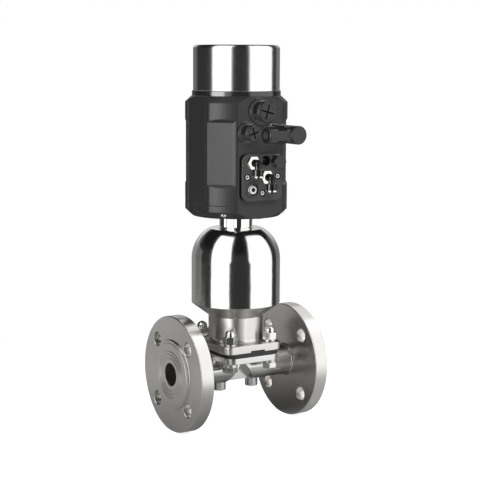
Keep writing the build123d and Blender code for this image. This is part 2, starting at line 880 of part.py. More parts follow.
with BuildPart() as base_screws:
    with BuildSketch(level(pocket_top - base_screw_head_height)):
        with corner_screws:
            Circle(base_screw_head_r)
    extrude(amount=base_screw_head_height)
    fillet(base_screws.edges().group_by(Axis.Z)[0], radius=base_screw_round)
    with BuildSketch(level(pocket_top)):
        with corner_screws:
            Circle(base_screw_r)
    extrude(amount=seam + base_screw_bite - pocket_top)
keep(base_screws, "base_screws")

with BuildPart() as side_screw:
    with BuildSketch(side_screw_plane.offset(side_screw_recess - side_screw_head_height)):
        Circle(side_screw_head_r)
    extrude(amount=side_screw_head_height)
    with BuildSketch(side_screw_plane.offset(side_screw_recess)):
        Circle(side_screw_r)
    extrude(amount=side_face - neck_tube_r - side_screw_recess)
keep(side_screw, "side_screw")

# Corner panels: flat floors that run out through the side faces and ramp up on their other three edges
with BuildPart() as corner_panels:
    outward = (sin(radians(corner_angle)), -cos(radians(corner_angle)), 0)
    across = (-cos(radians(corner_angle)), -sin(radians(corner_angle)), 0)
    recess_rim = recess_floor + recess_ramp
    with BuildSketch(Plane((axis_x, 0, seam), x_dir=outward, z_dir=across)):
        with BuildLine():
            lower = (recess_rim, recess_low - recess_ramp)
            upper = (recess_rim, recess_high + recess_ramp)
            Polyline((recess_floor, recess_low), lower, upper, (recess_floor, recess_high), close=True)
        make_face()
    extrude(amount=recess_side_reach, both=True)
    with BuildSketch(Plane((axis_x, 0, seam), x_dir=outward)):
        with BuildLine():
            side_run = recess_ramp / tan(radians(recess_side_angle))
            foot = (recess_floor, -recess_flat)
            inner = (recess_rim, -recess_flat - side_run)
            outer = (recess_rim, recess_side_reach)
            Polyline(foot, inner, outer, (recess_floor, recess_side_reach), close=True)
        make_face()
    extrude(amount=housing_height, mode=Mode.INTERSECT)
    mirror(about=Plane.YZ.offset(axis_x))
    mirror(about=Plane.XZ)

# Housing: moulded shell with sunk corner panels, an open top deck and the port face
with BuildPart() as head_housing:
    with BuildSketch(level(seam)):
        head_outline()
    extrude(amount=housing_height)
    far_low = shoulder_top - (far_r - shoulder_top_r) * shoulder_slope
    turned([(shoulder_top_r, shoulder_top), (far_r, shoulder_top), (far_r, far_low)], Mode.SUBTRACT)
    add(corner_panels.part, mode=Mode.SUBTRACT)
    with BuildSketch(level(seam)):
        Circle(recess_floor - housing_wall)
        flat_width = 2 * (side_flat - housing_wall)
        Rectangle(flat_width, 2 * (port_flat - housing_wall), mode=Mode.INTERSECT)
    extrude(amount=deck_low - seam, mode=Mode.SUBTRACT)
    with BuildSketch(level(seam)):
        with corner_screws:
            Circle(screw_boss_r)
    extrude(amount=screw_boss_height)
    with BuildSketch(level(seam)):
        with corner_screws:
            Circle(base_screw_r + thread_gap)
    extrude(amount=base_screw_bite + end_gap, mode=Mode.SUBTRACT)
    ring(deck_low, shoulder_top, deck_bore_r, mode=Mode.SUBTRACT)
    for place, radius in (
        (large_gland_place, large_gland_thread_r),
        (small_gland_place, small_gland_thread_r),
        (connector_place, socket_thread_r),
    ):
        stem(place, -gland_thread_depth - end_gap, 0, radius + thread_gap, mode=Mode.SUBTRACT)
    for place in all_ports:
        stem(on_plate(place), -housing_wall, 0, air_hole_r, mode=Mode.SUBTRACT)
    for place in screw_places:
        stem(on_plate(place), -housing_wall, 0, screw_shank_r + thread_gap, mode=Mode.SUBTRACT)
keep(head_housing, "head_housing")

# Collar with the spigot that the cover slides over
cover_bore_r = cover_r - cover_wall
spigot_ring_r = cover_bore_r - soft_gap
spigot_ring_top = collar_top + spigot_ring_height

with BuildPart() as collar:
    ring(shoulder_top, collar_top, collar_r, collar_bore_r)
    ring(collar_top, spigot_ring_top, spigot_ring_r, collar_bore_r)
    groove_low = collar_top + (spigot_ring_height - ring_groove) / 2
    groove_r = spigot_ring_r - 2 * ring_section_r
    ring(groove_low, groove_low + ring_groove, spigot_ring_r, groove_r, Mode.SUBTRACT)
keep(collar, "collar")

with BuildPart() as cover_seal:
    seal(groove_low + ring_groove / 2, spigot_ring_r - ring_section_r + soft_gap / 2)
keep(cover_seal, "cover_seal")

with BuildPart() as cover:
    ring(collar_top, cover_top, cover_r)
    fillet(cover.faces().sort_by(Axis.Z)[-1].edges(), radius=cover_edge)
    offset(amount=-cover_wall, openings=cover.faces().sort_by(Axis.Z)[0])
keep(cover, "cover")

# Key panel under the cover, with two keys held up by their flanges
key_centres = [(-key_spacing / 2, key_row), (key_spacing / 2, key_row)]
key_ledge = panel_top - panel_skin

with BuildPart() as operator_panel:
    ring(deck_low, shoulder_top, deck_bore_r - thread_gap)
    ring(shoulder_top, panel_top, collar_bore_r - thread_gap)
    with BuildSketch(level(deck_low)):
        with Locations(*key_centres):
            Circle(key_flange_r + key_clearance)
    extrude(amount=key_ledge - deck_low, mode=Mode.SUBTRACT)
    with BuildSketch(level(key_ledge)):
        with Locations(*key_centres):
            Circle(key_r + key_clearance)
    extrude(amount=panel_skin, mode=Mode.SUBTRACT)
keep(operator_panel, "operator_panel")

for centre, name in zip(key_centres, ("menu_key", "enter_key")):
    with BuildPart() as key:
        with BuildSketch(level(key_ledge - thread_gap - key_flange)):
            with Locations(centre):
                Circle(key_flange_r)
        extrude(amount=key_flange)
        with BuildSketch(level(key_ledge - thread_gap)):
            with Locations(centre):
                Circle(key_r)
        extrude(amount=panel_skin + thread_gap + key_rise)
        chamfer(key.faces().sort_by(Axis.Z)[-1].edges(), length=key_clearance)
    keep(key, name)

# Inside the head: a frame on the base carries the board and the position sensor
post_x, post_y = frame_post_place

with BuildPart() as board_frame:
    ring(frame_low, frame_top, frame_r, frame_bore_r)
    with BuildSketch(level(frame_top)):
        for side in (-1, 1):
            with Locations((side * post_x, post_y)):
                Rectangle(frame_post, frame_post)
    extrude(amount=frame_post_height)
keep(board_frame, "board_frame")

with BuildPart() as main_board:
    board_y = post_y + (frame_post + board_thickness) / 2
    with BuildSketch(level(frame_top + board_rise)):
        with Locations((0, board_y)):
            Rectangle(board_width, board_thickness)
    extrude(amount=board_height)
keep(main_board, "main_board")

with BuildPart() as position_sensor:
    ring(frame_top, frame_top + sensor_height, sensor_r, rod_r + sensor_gap)
keep(position_sensor, "position_sensor")

with BuildPart() as pilot_valves:
    with BuildSketch(port(-housing_wall - valve_depth)):
        with Locations(on_plate((-valve_spacing / 2, 0)), on_plate((valve_spacing / 2, 0))):
            Rectangle(valve_width, valve_height)
    extrude(amount=valve_depth)
keep(pilot_valves, "pilot_valves")

# Port plate on its gasket, held by three socket screws
with BuildPart() as manifold_gasket:
    with BuildSketch(port(0)):
        with Locations(on_plate((0, 0))):
            side = manifold_side - 2 * gasket_inset
            RectangleRounded(side, side, manifold_corner - gasket_inset)
        with Locations(*[on_plate(place) for place in all_ports]):
            Circle(air_hole_r, mode=Mode.SUBTRACT)
        with Locations(*[on_plate(place) for place in screw_places]):
            Circle(screw_shank_r + thread_gap, mode=Mode.SUBTRACT)
    extrude(amount=gasket_thickness)
keep(manifold_gasket, "manifold_gasket")

with BuildPart() as manifold_plate:
    head_foot = manifold_top - screw_head_height
    with BuildSketch(port(gasket_thickness)):
        with Locations(on_plate((0, 0))):
            RectangleRounded(manifold_side, manifold_side, manifold_corner)
    extrude(amount=manifold_thickness)
    chamfer(manifold_plate.faces().sort_by(Axis.Y)[0].edges(), length=manifold_edge)
    rim_top = manifold_top + exhaust_rim_height
    rim_bore_r = exhaust_rim_r - exhaust_rim_wall
    stem(on_plate(exhaust_port), manifold_top, rim_top, exhaust_rim_r, rim_bore_r)
    recess_foot = manifold_top - exhaust_recess
    stem(on_plate(exhaust_port), recess_foot, manifold_top, rim_bore_r, mode=Mode.SUBTRACT)
    for place in all_ports:
        stem(on_plate(place), gasket_thickness, manifold_top, port_r, mode=Mode.SUBTRACT)
    for place in screw_places:
        stem(on_plate(place), gasket_thickness, head_foot, screw_shank_r + thread_gap, mode=Mode.SUBTRACT)
        stem(on_plate(place), head_foot, manifold_top, screw_pocket, mode=Mode.SUBTRACT)
keep(manifold_plate, "manifold_plate")

with BuildPart() as manifold_screws:
    for place in screw_places:
        stem(on_plate(place), -screw_bite, head_foot, screw_shank_r)
        stem(on_plate(place), head_foot, manifold_top, screw_head_r)
    with BuildSketch(port(manifold_top)):
        with Locations(*[on_plate(place) for place in screw_places]):
            RegularPolygon(screw_key_width / 2, 6, major_radius=False)
    extrude(amount=-screw_head_height / 2, mode=Mode.SUBTRACT)
keep(manifold_screws, "manifold_screws")

# Push-in elbows: a hexagon stud in the plate, a swivelling elbow, a band and a release collet
thread_low = manifold_top - port_thread_depth

with BuildPart() as fitting_studs:
    for place in (inlet_port, outlet_port):
        stem(on_plate(place), thread_low, manifold_top, port_r - thread_gap)
        stem(on_plate(place), hex_top, hex_top + stud_pivot_length, stud_pivot_r)
    with BuildSketch(port(manifold_top)):
        with Locations(on_plate(inlet_port), on_plate(outlet_port)):
            RegularPolygon(stud_hex_width / 2, 6, major_radius=False)
    extrude(amount=stud_hex_height)
keep(fitting_studs, "fitting_studs")


def leg_plane(place, drop):
    x, z = on_plate(place)
    corner = (axis_x + port_shift + x, -port_flat - elbow_height, head_low + z - drop)
    return Plane(corner, x_dir=(1, 0, 0), z_dir=(0, 0, -1))


def leg_ring(place, low, high, outer, inner=0.0, mode=Mode.ADD):
    with BuildSketch(leg_plane(place, low)) as section:
        Circle(outer)
        if inner > 0:
            Circle(inner, mode=Mode.SUBTRACT)
    extrude(section.sketch, amount=high - low, mode=mode)


band_end = sleeve_end + band_height
collet_r = tube_r + collet_wall
lip_start = band_end + collet_travel + collet_gap

for place, name in ((inlet_port, "inlet"), (outlet_port, "outlet")):
    with BuildPart() as elbow:
        stem(on_plate(place), hex_top + soft_gap, elbow_height, elbow_arm_r)
        with Locations(leg_plane(place, 0)):
            Sphere(elbow_arm_r)
        leg_ring(place, 0, sleeve_start, elbow_leg_r)
        leg_ring(place, sleeve_start, sleeve_end, sleeve_r)
        leg_ring(place, sleeve_floor, sleeve_end, collet_r + collet_gap, mode=Mode.SUBTRACT)
        pivot_end = hex_top + stud_pivot_length + soft_gap
        stem(on_plate(place), hex_top, pivot_end, stud_pivot_r + running_gap, mode=Mode.SUBTRACT)
    keep(elbow, f"{name}_elbow")
    with BuildPart() as band:
        leg_ring(place, sleeve_end, band_end, band_r, collet_r + collet_gap)
    keep(band, f"{name}_band")
    with BuildPart() as collet:
        leg_ring(place, lip_start - collet_stem, lip_start, collet_r, tube_r)
        leg_ring(place, lip_start, lip_start + collet_lip, collet_lip_r, tube_r)
    keep(collet, f"{name}_collet")

with BuildPart() as port_plug:
    stem(on_plate(vent_port), thread_low, manifold_top, port_r - thread_gap)
    stem(on_plate(vent_port), manifold_top, manifold_top + vent_height, vent_r)
    fillet(at_radius(port_plug.edges(), vent_r).sort_by(Axis.Y)[0], radius=vent_edge)
keep(port_plug, "port_plug")

with BuildPart() as port_ring:
    ring_end = manifold_top + exhaust_ring_rise
    stem(on_plate(exhaust_port), thread_low, recess_foot, port_r - thread_gap, exhaust_ring_bore_r)
    stem(on_plate(exhaust_port), recess_foot, ring_end, exhaust_ring_r, exhaust_ring_bore_r)
keep(port_ring, "port_ring")


# Cable glands: threaded shank, collar and nose, each closed by a plug with a cross slot
def gland(place, flange, body, thread, hole):
    with BuildPart() as piece:
        stem(place, -gland_thread_depth, 0, thread)
        stem(place, 0, gland_collar_height, flange)
        chamfer(at_radius(piece.edges(), flange).sort_by(Axis.Y)[0], length=gland_collar_edge)
        stem(place, gland_collar_height, gland_reach, body)
        chamfer(at_radius(piece.edges(), body).sort_by(Axis.Y)[0], length=gland_nose)
        stem(place, -gland_thread_depth, gland_reach, hole, mode=Mode.SUBTRACT)
    return piece


large_sizes = (large_gland_collar_r, large_gland_body_r, large_gland_thread_r, large_gland_bore_r)
small_sizes = (small_gland_collar_r, small_gland_body_r, small_gland_thread_r, small_gland_bore_r)
keep(gland(large_gland_place, *large_sizes), "large_gland")
keep(gland(small_gland_place, *small_sizes), "small_gland")

with BuildPart() as gland_plugs:
    for place, hole, turn in (
        (large_gland_place, large_gland_bore_r, large_plug_turn),
        (small_gland_place, small_gland_bore_r, small_plug_turn),
    ):
        stem(place, -gland_thread_depth, gland_reach, hole - thread_gap)
        with BuildSketch(port(gland_reach - plug_groove_depth)):
            with Locations(place):
                Rectangle(2 * hole, plug_groove_width, rotation=turn)
                Rectangle(plug_groove_width, 2 * hole, rotation=turn)
        extrude(amount=plug_groove_depth, mode=Mode.SUBTRACT)
keep(gland_plugs, "gland_plugs")

# Angled connector: socket in the face, union nut, barrel with a side leg, and the clamp nut
union_low = socket_flange_height + soft_gap
union_top = union_low + union_height
barrel_low = union_top + soft_gap

with BuildPart() as connector_socket:
    stem(connector_place, -gland_thread_depth, 0, socket_thread_r)
    stem(connector_place, 0, socket_flange_height, socket_flange_r)
    stem(connector_place, socket_flange_height, socket_height, socket_r)
    stem(connector_place, -gland_thread_depth, socket_height, socket_bore_r, mode=Mode.SUBTRACT)
keep(connector_socket, "connector_socket")

with BuildPart() as union_nut:
    stem(connector_place, union_low, union_top, union_r, socket_r + thread_gap)
    with BuildSketch(port(union_low)):
        with Locations(connector_place):
            with PolarLocations(union_r, union_notch_count):
                Circle(union_notch_r)
    extrude(amount=union_height, mode=Mode.SUBTRACT)
keep(union_nut, "union_nut")


def leg(start):
    x, z = connector_place
    corner = (axis_x + port_shift + x - start, -port_flat - leg_height, head_low + z)
    return Plane(corner, x_dir=(0, 1, 0), z_dir=(-1, 0, 0))


with BuildPart() as connector_body:
    stem(connector_place, socket_flange_height + end_gap, barrel_low, socket_bore_r - soft_gap)
    stem(connector_place, barrel_low, barrel_end, barrel_r)
    chamfer(at_radius(connector_body.edges(), barrel_r), length=barrel_edge)
    with BuildSketch(leg(0)):
        Circle(leg_r)
    extrude(amount=leg_hex_start)
    with BuildSketch(leg(leg_hex_start)):
        RegularPolygon(leg_hex_width / 2, 6, major_radius=False, rotation=30)
    extrude(amount=leg_hex_end - leg_hex_start)
    with BuildSketch(leg(leg_hex_end)):
        Circle(leg_thread_r)
    extrude(amount=leg_thread_length)
    with BuildSketch(leg(leg_hex_start)):
        Circle(clamp_bore_r)
    extrude(amount=leg_hex_end + leg_thread_length - leg_hex_start, mode=Mode.SUBTRACT)
keep(connector_body, "connector_body")

with BuildPart() as clamp_nut:
    with BuildSketch(leg(leg_hex_end + soft_gap)):
        Circle(clamp_r)
    extrude(amount=clamp_length)
    fillet(at_radius(clamp_nut.edges(), clamp_r).sort_by(Axis.X)[0], radius=clamp_round)
    with BuildSketch(leg(leg_hex_end)):
        Circle(leg_thread_r + thread_gap)
    extrude(amount=leg_thread_length + soft_gap, mode=Mode.SUBTRACT)
    with BuildSketch(leg(leg_hex_end)):
        Circle(clamp_bore_r)
    extrude(amount=clamp_length + soft_gap, mode=Mode.SUBTRACT)
keep(clamp_nut, "clamp_nut")
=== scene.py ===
import bmesh
import bpy
import json
from math import acos, cos, pi, radians, sin, sqrt
from mathutils import Matrix, Vector

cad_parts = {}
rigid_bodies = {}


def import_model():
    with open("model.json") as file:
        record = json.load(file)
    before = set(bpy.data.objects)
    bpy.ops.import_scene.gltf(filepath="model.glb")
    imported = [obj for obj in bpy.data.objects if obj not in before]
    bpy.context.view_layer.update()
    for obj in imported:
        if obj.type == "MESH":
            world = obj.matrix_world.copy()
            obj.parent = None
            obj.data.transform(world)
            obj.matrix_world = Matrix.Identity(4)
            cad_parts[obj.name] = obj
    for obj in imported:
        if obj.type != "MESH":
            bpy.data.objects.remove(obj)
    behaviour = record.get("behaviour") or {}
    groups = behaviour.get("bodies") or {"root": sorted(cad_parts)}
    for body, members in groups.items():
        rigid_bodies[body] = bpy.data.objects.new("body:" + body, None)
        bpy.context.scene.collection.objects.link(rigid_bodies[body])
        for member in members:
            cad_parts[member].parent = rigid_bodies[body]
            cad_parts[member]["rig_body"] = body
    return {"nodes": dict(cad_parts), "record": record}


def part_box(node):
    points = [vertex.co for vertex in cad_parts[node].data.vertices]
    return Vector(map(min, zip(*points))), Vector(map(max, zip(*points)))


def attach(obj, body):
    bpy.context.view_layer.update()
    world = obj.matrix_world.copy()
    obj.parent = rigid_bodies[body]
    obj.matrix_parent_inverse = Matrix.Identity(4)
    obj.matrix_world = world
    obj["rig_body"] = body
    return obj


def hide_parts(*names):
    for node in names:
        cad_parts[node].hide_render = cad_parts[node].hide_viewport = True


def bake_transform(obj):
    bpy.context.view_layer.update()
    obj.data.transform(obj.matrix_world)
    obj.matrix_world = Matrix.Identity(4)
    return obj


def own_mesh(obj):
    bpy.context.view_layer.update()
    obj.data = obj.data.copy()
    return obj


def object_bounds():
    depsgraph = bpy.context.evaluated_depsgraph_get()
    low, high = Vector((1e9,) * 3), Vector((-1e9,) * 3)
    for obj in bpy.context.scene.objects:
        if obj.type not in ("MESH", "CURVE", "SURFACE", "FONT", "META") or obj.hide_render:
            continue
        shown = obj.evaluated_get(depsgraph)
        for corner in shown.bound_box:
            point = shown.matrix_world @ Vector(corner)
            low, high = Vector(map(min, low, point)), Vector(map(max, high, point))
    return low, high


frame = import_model()
cad_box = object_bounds()
cad = frame["nodes"]
mm = 0.001

# Places that the frame gives
shell_low, shell_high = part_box("actuator_shell")
spindle_x = (shell_low.x + shell_high.x) / 2
floor_z = cad_box[0][2]


def grey(level):
    return (level, level, level, 1)


# Short calls for building a node tree
class Tree:
    def __init__(self, owner):
        owner.use_nodes = True
        self.nodes = owner.node_tree.nodes
        self.links = owner.node_tree.links
        self.nodes.clear()

    def new(self, kind, inputs=(), **settings):
        node = self.nodes.new("ShaderNode" + kind)
        for name, value in settings.items():
            setattr(node, name, value)
        for socket, value in dict(inputs).items():
            self.feed(node.inputs[socket], value)
        return node

    def feed(self, socket, value):
        if isinstance(value, bpy.types.NodeSocket):
            self.links.new(value, socket)
        else:
            socket.default_value = value

    def math(self, operation, *values):
        node = self.new("Math", enumerate(values), operation=operation)
        return node.outputs[0]

    def ramp(self, factor, stops):
        node = self.new("ValToRGB", {"Fac": factor})
        band = node.color_ramp
        while len(band.elements) < len(stops):
            band.elements.new(1)
        for element, (place, level) in zip(band.elements, stops):
            element.position = place
            element.color = grey(level)
        return node.outputs["Color"]

    def mix(self, factor, first, second):
        node = self.new("Mix", data_type="RGBA")
        for socket, value in ((0, factor), (6, first), (7, second)):
            self.feed(node.inputs[socket], value)
        return node.outputs[2]


# The studio: a white panel on each side of a dark gap, dark and grey walls beyond, a pale backdrop behind.
# Angles are in degrees, and a turn counts from the side of the photograph, growing to the right
view_side = -32.05

# The turn where each level of brightness starts, round the walls and the ground
walls = [(-180, 0.16), (-129, 0.035), (131, 0.21)]
near_floor_painted_light = [(-180, 0.16), (-126, 0.42), (-60, 0.50), (-14, 0.60), (25, 0.75), (105, 0.45), (130, 0.16)]
far_ground = [
    (-180, 0.16), (-126, 0.52), (-85, 0.60), (-67, 1.0), (-14, 0.10), (36, 1.25), (112, 0.20), (130, 0.16),
]
wall_blur, ground_blur, lift_blur = 2, 5, 4
wall_top, panel_top, backdrop_band, ground_edge = (15, 30), (16, 24), (3, 8, 18, 26), (-15.5, -14.5)
left_ground_side, left_ground_lift = -85, 0.020

# Planes that bound the panels, as shares of aside, ahead and down, and a constant
left_end, left_gap = (1.0, 0.864, 0.0, 0.56), (-1.0, -0.19, 0.45, -0.03)
right_gap, right_end = (1.0, -0.32, 0.45, -0.30), (-0.429, 1.0, 0.0, 0.71)
roof_curve, roof_soft = (1.0, 1.7, -0.1), 0.09
left_panel, right_panel, backdrop_level, roof_level, ambient_level = 1.7, 1.45, 0.7, 0.012, 0.10
backdrop_start, backdrop_full = 0.78, 0.88

# The floor fades to white for the camera, and to the studio's own ground in the metal. Near the object, the
# floor that the metal mirrors glows with painted light and shade by turn, and with a painted shadow under
# the object
glow_near, glow_far, floor_near, floor_far, floor_reach = 0.15, 0.50, 0.40, 0.60, 4.0
painted_floor_shadow = [(0.05, 0.30), (0.09, 0.65), (0.25, 1.0)]
near_ground_end, far_ground_start = 0.16, 0.30
paper_level, paper_glow = 0.8, 0.75


def around(direction_levels, blur):
    """Ramp stops for levels that each hold from their own angle to the next one's."""
    levels = [level for _, level in direction_levels]
    stops = [(0, levels[0])]
    for (edge, after), before in zip(direction_levels[1:], levels):
        stops.append(((edge - blur + 180) / 360, before))
        stops.append(((edge + blur + 180) / 360, after))
    return stops + [(1, levels[-1])]


def between(tree, height, angles):
    """One between the two middle elevations, and nothing beyond the outer two."""
    shares = [min(1, angle / 180 + 0.5) for angle in angles]
    return tree.ramp(height, list(zip(shares, (0, 1, 1, 0))))


def above(tree, height, angles):
    """Nothing below the first elevation, and one from the second up."""
    return between(tree, height, (*angles, 180, 181))


def blend_shaders(tree, factor, first, second):
    return tree.new("MixShader", {0: factor, 1: first.outputs[0], 2: second.outputs[0]})


def turn_from_view(tree, direction):
    toward = tree.math("MULTIPLY", direction.outputs["Y"], -1)
    turn = tree.math("ARCTAN2", direction.outputs["X"], toward)
    return tree.math("WRAP", tree.math("SUBTRACT", turn, radians(view_side)), pi, -pi)


def beyond(tree, places, plane, soft=0.02):
    """One on the far side of a plane or curve, given as a share of each place and a constant."""
    *shares, total = plane
    for place, share in zip(places, shares):
        total = tree.math("MULTIPLY_ADD", place, share, total)
    return tree.new("MapRange", {0: total, 1: -soft, 2: soft, 3: 0.0, 4: 1.0}).outputs[0]


def build_world():
    world = bpy.data.worlds.new("studio")
    bpy.context.scene.world = world
    tree = Tree(world)
    direction = tree.new("SeparateXYZ", {0: tree.new("TexCoord").outputs["Generated"]})
    turn = turn_from_view(tree, direction)
    share = tree.math("ADD", tree.math("DIVIDE", turn, 2 * pi), 0.5)
    rise = direction.outputs["Z"]
    height = tree.math("ADD", tree.math("DIVIDE", tree.math("ARCSINE", rise), pi), 0.5)
    flat = tree.math("SQRT", tree.math("SUBTRACT", 1, tree.math("MULTIPLY", rise, rise)))
    aside = tree.math("MULTIPLY", tree.math("SINE", turn), flat)
    ahead = tree.math("MULTIPLY", tree.math("COSINE", turn), flat)
    wall = tree.ramp(share, around(walls, wall_blur))
    seen = tree.mix(above(tree, height, wall_top), wall, grey(roof_level))
    # The panels reach over the object, and both end along a curve just behind it
    over = beyond(tree, (ahead, tree.math("MULTIPLY", aside, aside)), roof_curve, roof_soft)
    high = above(tree, height, panel_top)
    kept = tree.math("SUBTRACT", 1, tree.math("MULTIPLY", high, tree.math("SUBTRACT", 1, over)))
    places = (aside, ahead, tree.math("MINIMUM", rise, 0))
    for level, outer, inner in ((left_panel, left_end, left_gap), (right_panel, right_end, right_gap)):
        lit = tree.math("MULTIPLY", beyond(tree, places, outer), beyond(tree, places, inner))
        seen = tree.mix(tree.math("MULTIPLY", kept, lit), seen, grey(level))
    # The ground starts a little higher on the left
    on_left = tree.ramp(share, around([(-180, 1), (left_ground_side, 0)], lift_blur))
    lifted = tree.math("SUBTRACT", height, tree.math("MULTIPLY", on_left, left_ground_lift))
    below = tree.ramp(share, around(far_ground, ground_blur))
    seen = tree.mix(above(tree, lifted, ground_edge), below, seen)
    away = tree.math("DIVIDE", tree.math("ABSOLUTE", turn), pi)
    behind = tree.ramp(away, [(backdrop_start, 0), (backdrop_full, 1)])
    backdrop = tree.math("MULTIPLY", between(tree, height, backdrop_band), behind)
    seen = tree.mix(backdrop, seen, grey(backdrop_level))
    path = tree.new("LightPath")
    glow = tree.new("Background", {"Color": seen, "Strength": 1.0})
    ambient = tree.new("Background", {"Color": (0.98, 0.99, 1, 1), "Strength": ambient_level})
    white = tree.new("Background", {"Color": grey(1), "Strength": 1.0})
    soft = blend_shaders(tree, path.outputs["Is Glossy Ray"], ambient, glow)
    whole = blend_shaders(tree, path.outputs["Is Camera Ray"], soft, white)
    tree.new("OutputWorld", {"Surface": whole.outputs[0]})


def build_floor():
    mesh = bpy.data.meshes.new("floor")
    corners = [(x * floor_reach, y * floor_reach, floor_z) for x, y in ((-1, -1), (1, -1), (1, 1), (-1, 1))]
    mesh.from_pydata(corners, [], [(0, 1, 2, 3)])
    floor = bpy.data.objects.new("floor", mesh)
    bpy.context.scene.collection.objects.link(floor)
    material = bpy.data.materials.new("floor")
    tree = Tree(material)
    path = tree.new("LightPath")
    paper = tree.new("BsdfDiffuse", {"Color": grey(paper_level)})
    glow = tree.new("Emission", {"Color": grey(1), "Strength": paper_glow})
    white = tree.new("Emission", {"Color": grey(1), "Strength": 1.0})
    place = tree.new("TexCoord").outputs["Object"]
    offset = tree.new("VectorMath", {0: place, 1: (spindle_x, 0, 0)}, operation="SUBTRACT").outputs[0]
    turn = turn_from_view(tree, tree.new("SeparateXYZ", {0: offset}))
    share = tree.math("ADD", tree.math("DIVIDE", turn, 2 * pi), 0.5)
    middle = (spindle_x, 0, floor_z)
    away = tree.new("VectorMath", {0: place, 1: middle}, operation="DISTANCE").outputs["Value"]
    level = tree.mix(tree.ramp(away, [(near_ground_end, 0), (far_ground_start, 1)]),
                     tree.ramp(share, around(near_floor_painted_light, 2 * ground_blur)),
                     tree.ramp(share, around(far_ground, ground_blur)))
    # Painted light and shade on the floor as the metal mirrors it, darkened by a painted shadow near the
    # spindle
    painted_floor_light = tree.new("Emission", {"Color": level, "Strength": tree.ramp(away, painted_floor_shadow)})
    clear = tree.new("BsdfTransparent")
    far = tree.new("MapRange", {0: away, 1: floor_near, 2: floor_far, 3: 0.0, 4: 1.0}).outputs[0]
    wide = tree.new("MapRange", {0: away, 1: glow_near, 2: glow_far, 3: 0.0, 4: 1.0}).outputs[0]
    lit = tree.new("AddShader", {0: paper.outputs[0], 1: glow.outputs[0]})
    bright = blend_shaders(tree, wide, lit, white)
    shown = blend_shaders(tree, path.outputs["Is Camera Ray"], paper, bright)
    mirrored = blend_shaders(tree, far, painted_floor_light, clear)
    mixed = blend_shaders(tree, path.outputs["Is Glossy Ray"], shown, mirrored)
    tree.new("OutputMaterial", {"Surface": mixed.outputs[0]})
    mesh.materials.append(material)


# Lamps. One that shows in the pieces as a highlight lights only the pieces of its own group
lamp_aim_height = 130 * mm


def build_lamp(name, side, elevation, distance, size, power, only=None, tall=None):
    lamp = bpy.data.objects.new(name, bpy.data.lights.new(name, "AREA"))
    bpy.context.scene.collection.objects.link(lamp)
    lamp.data.shape = "RECTANGLE" if tall else "DISK"
    lamp.data.size = size
    lamp.data.size_y = tall or size
    lamp.data.energy = power
    lamp.visible_glossy = only is not None
    lamp.light_linking.receiver_collection = only
    turn = radians(view_side + side)
    flat = cos(radians(elevation))
    away = Vector((sin(turn) * flat, -cos(turn) * flat, sin(radians(elevation))))
    middle = Vector((spindle_x, 0, lamp_aim_height))
    lamp.location = middle + away * distance
    lamp.rotation_euler = away.to_track_quat("Z", "Y").to_euler()


# The camera stands where the photograph was taken from
def build_camera():
    aim, lift, tilt = view_side, 7.97, 0.234
    distance, shift_right, aim_height = 1.3386, 4.125 * mm, 128.02 * mm
    back = Vector((sin(radians(aim)) * cos(radians(lift)), -cos(radians(aim)) * cos(radians(lift)),
                   sin(radians(lift))))
    right = Vector((cos(radians(aim)), sin(radians(aim)), 0))
    up = back.cross(right)
    camera = bpy.data.objects.new("camera", bpy.data.cameras.new("camera"))
    bpy.context.scene.collection.objects.link(camera)
    camera.data.lens = 100.75
    camera.data.sensor_width = 36
    camera.data.clip_end = 20
    target = Vector((spindle_x, 0, aim_height)) + right * shift_right
    turned_right = right * cos(radians(tilt)) + up * sin(radians(tilt))
    turned_up = up * cos(radians(tilt)) - right * sin(radians(tilt))
    axes = Matrix((turned_right, turned_up, back)).transposed().to_4x4()
    camera.matrix_world = Matrix.Translation(target + back * distance) @ axes
    bpy.context.scene.camera = camera
    bpy.context.scene.view_settings.view_transform = "Standard"


build_world()
build_floor()
group_names = ("moulded", "elbows", "domed", "necked", "rimmed", "cast")
moulded, elbows, domed, necked, rimmed, cast = (bpy.data.collections.new(name) for name in group_names)
build_lamp("key", side=18, elevation=34, distance=1.6, size=0.8, power=30)
build_lamp("fill", side=95, elevation=15, distance=1.8, size=1.2, power=14)
build_lamp("back", side=-165, elevation=35, distance=1.8, size=1.2, power=12)
build_lamp("sheen", side=-48, elevation=4, distance=1.4, size=0.9, power=15, only=moulded)
build_lamp("glint_left", side=-55, elevation=-0.5, distance=1.2, size=0.5, tall=0.34, power=13, only=elbows)
build_lamp("glint_right", side=68, elevation=-0.5, distance=1.2, size=0.4, tall=0.34, power=4, only=elbows)
build_lamp("dome_side", side=-139, elevation=-1, distance=0.6, size=1.05, tall=0.36, power=0.15, only=domed)
build_lamp("rim_top", side=143, elevation=46, distance=1.4, size=1.7, power=7.4, only=rimmed)
build_lamp("flange_side", side=-116, elevation=-13, distance=0.55, size=0.40, tall=0.12, power=0.06,
           only=rimmed)
build_lamp("bonnet_left", side=-38, elevation=-4, distance=1.2, size=0.8, tall=0.5, power=2.7, only=cast)
build_lamp("bonnet_right", side=30, elevation=-4, distance=1.2, size=0.62, tall=0.5, power=1.2, only=cast)
build_lamp("neck_left", side=-81, elevation=-7, distance=1.5, size=0.53, power=1.2, only=necked)
build_lamp("neck_front", side=-3, elevation=-7, distance=1.5, size=0.42, power=0.8, only=necked)
build_camera()


# Finishes. Each has its own colour drift, roughness and relief, in the object's own coordinates
line_detail, cloud_detail, line_roughness, cloud_roughness = 3.0, 3.0, 0.6, 0.55
across_lines, fine_grain = 0.25, 0.4 * mm


